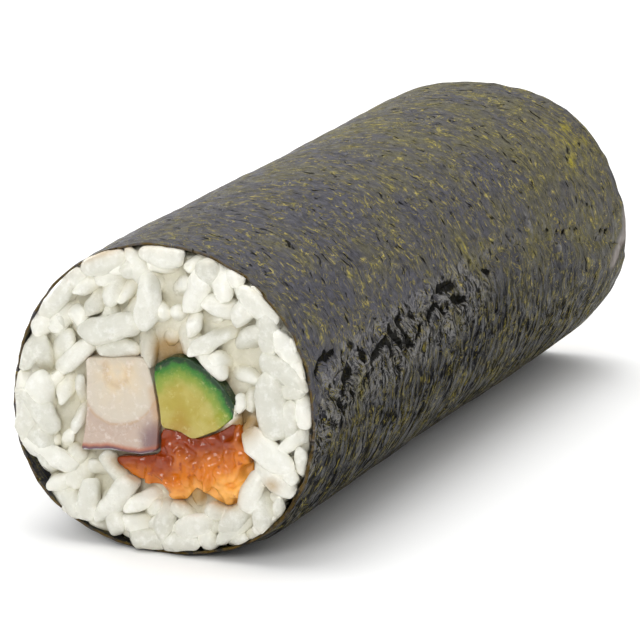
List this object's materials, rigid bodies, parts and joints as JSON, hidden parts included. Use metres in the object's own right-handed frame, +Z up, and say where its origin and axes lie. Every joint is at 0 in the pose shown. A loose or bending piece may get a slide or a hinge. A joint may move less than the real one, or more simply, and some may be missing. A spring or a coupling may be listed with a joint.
{
  "type": "temaki hand roll",
  "caption": "Sushi hand roll: dried seaweed sheet round seasoned rice, with cured mackerel, cucumber wedge and orange relish running through it.",
  "frame": {"origin": "middle of the strip that the roll lies on, below the centre of its box", "axes": "+Y along the roll away from its shown cut end, +X to the right as that end is looked at, +Z up"},
  "size_m": [0.038, 0.1042, 0.0353],
  "materials": {
    "seaweed": "thin dried sheet, dark green-black with a grey satin sheen and fine flecks",
    "rice": "cooked, off-white, slightly translucent and moist",
    "mackerel": "cured pale pink-beige flesh with muscle lines and a silver skin, moist",
    "cucumber": "wet yellow-green flesh under dark green skin",
    "relish": "chopped pieces in a glossy orange-brown sauce"
  },
  "bodies": {
    "root": {"seaweed_sheet": "seaweed", "rice": "rice", "mackerel": "mackerel", "cucumber": "cucumber", "relish": "relish"}
  },
  "joints": []
}
